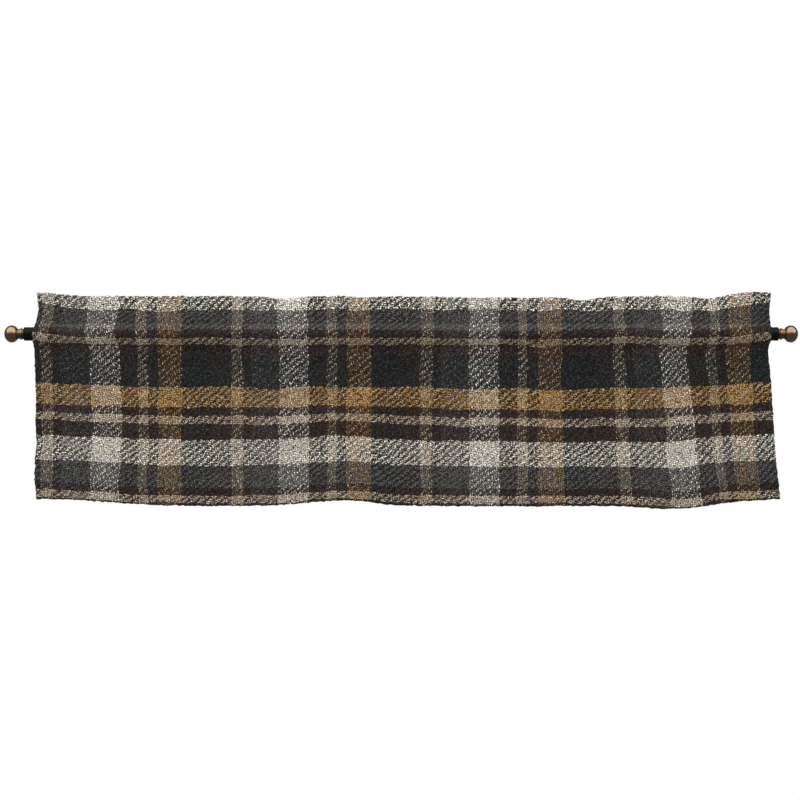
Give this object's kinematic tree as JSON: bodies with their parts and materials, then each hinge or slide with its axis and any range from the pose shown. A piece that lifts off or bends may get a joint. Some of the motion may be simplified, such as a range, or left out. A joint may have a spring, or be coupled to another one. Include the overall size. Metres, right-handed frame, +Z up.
{
  "type": "window valance on a curtain rod",
  "caption": "Flat plaid window valance with a standing header and a rod pocket, hanging in soft folds on a round curtain rod with ball finials.",
  "frame": {"origin": "on the rod's axis at mid-width, where the rod is held up", "axes": "+X along the rod, to the right as seen from the front; +Z up; the front of the cloth faces -Y"},
  "size_m": [1.4644, 0.0322, 0.4005],
  "materials": {
    "plaid_cloth": "heavy chenille twill in a plaid of cream, gold, tan, brown, charcoal and black",
    "black_metal": "satin black paint",
    "antique_brass": "antique brass, satin"
  },
  "bodies": {
    "root": {"valance_cloth": "plaid_cloth", "curtain_rod": "black_metal", "finial_left": "antique_brass", "finial_right": "antique_brass"}
  },
  "joints": []
}
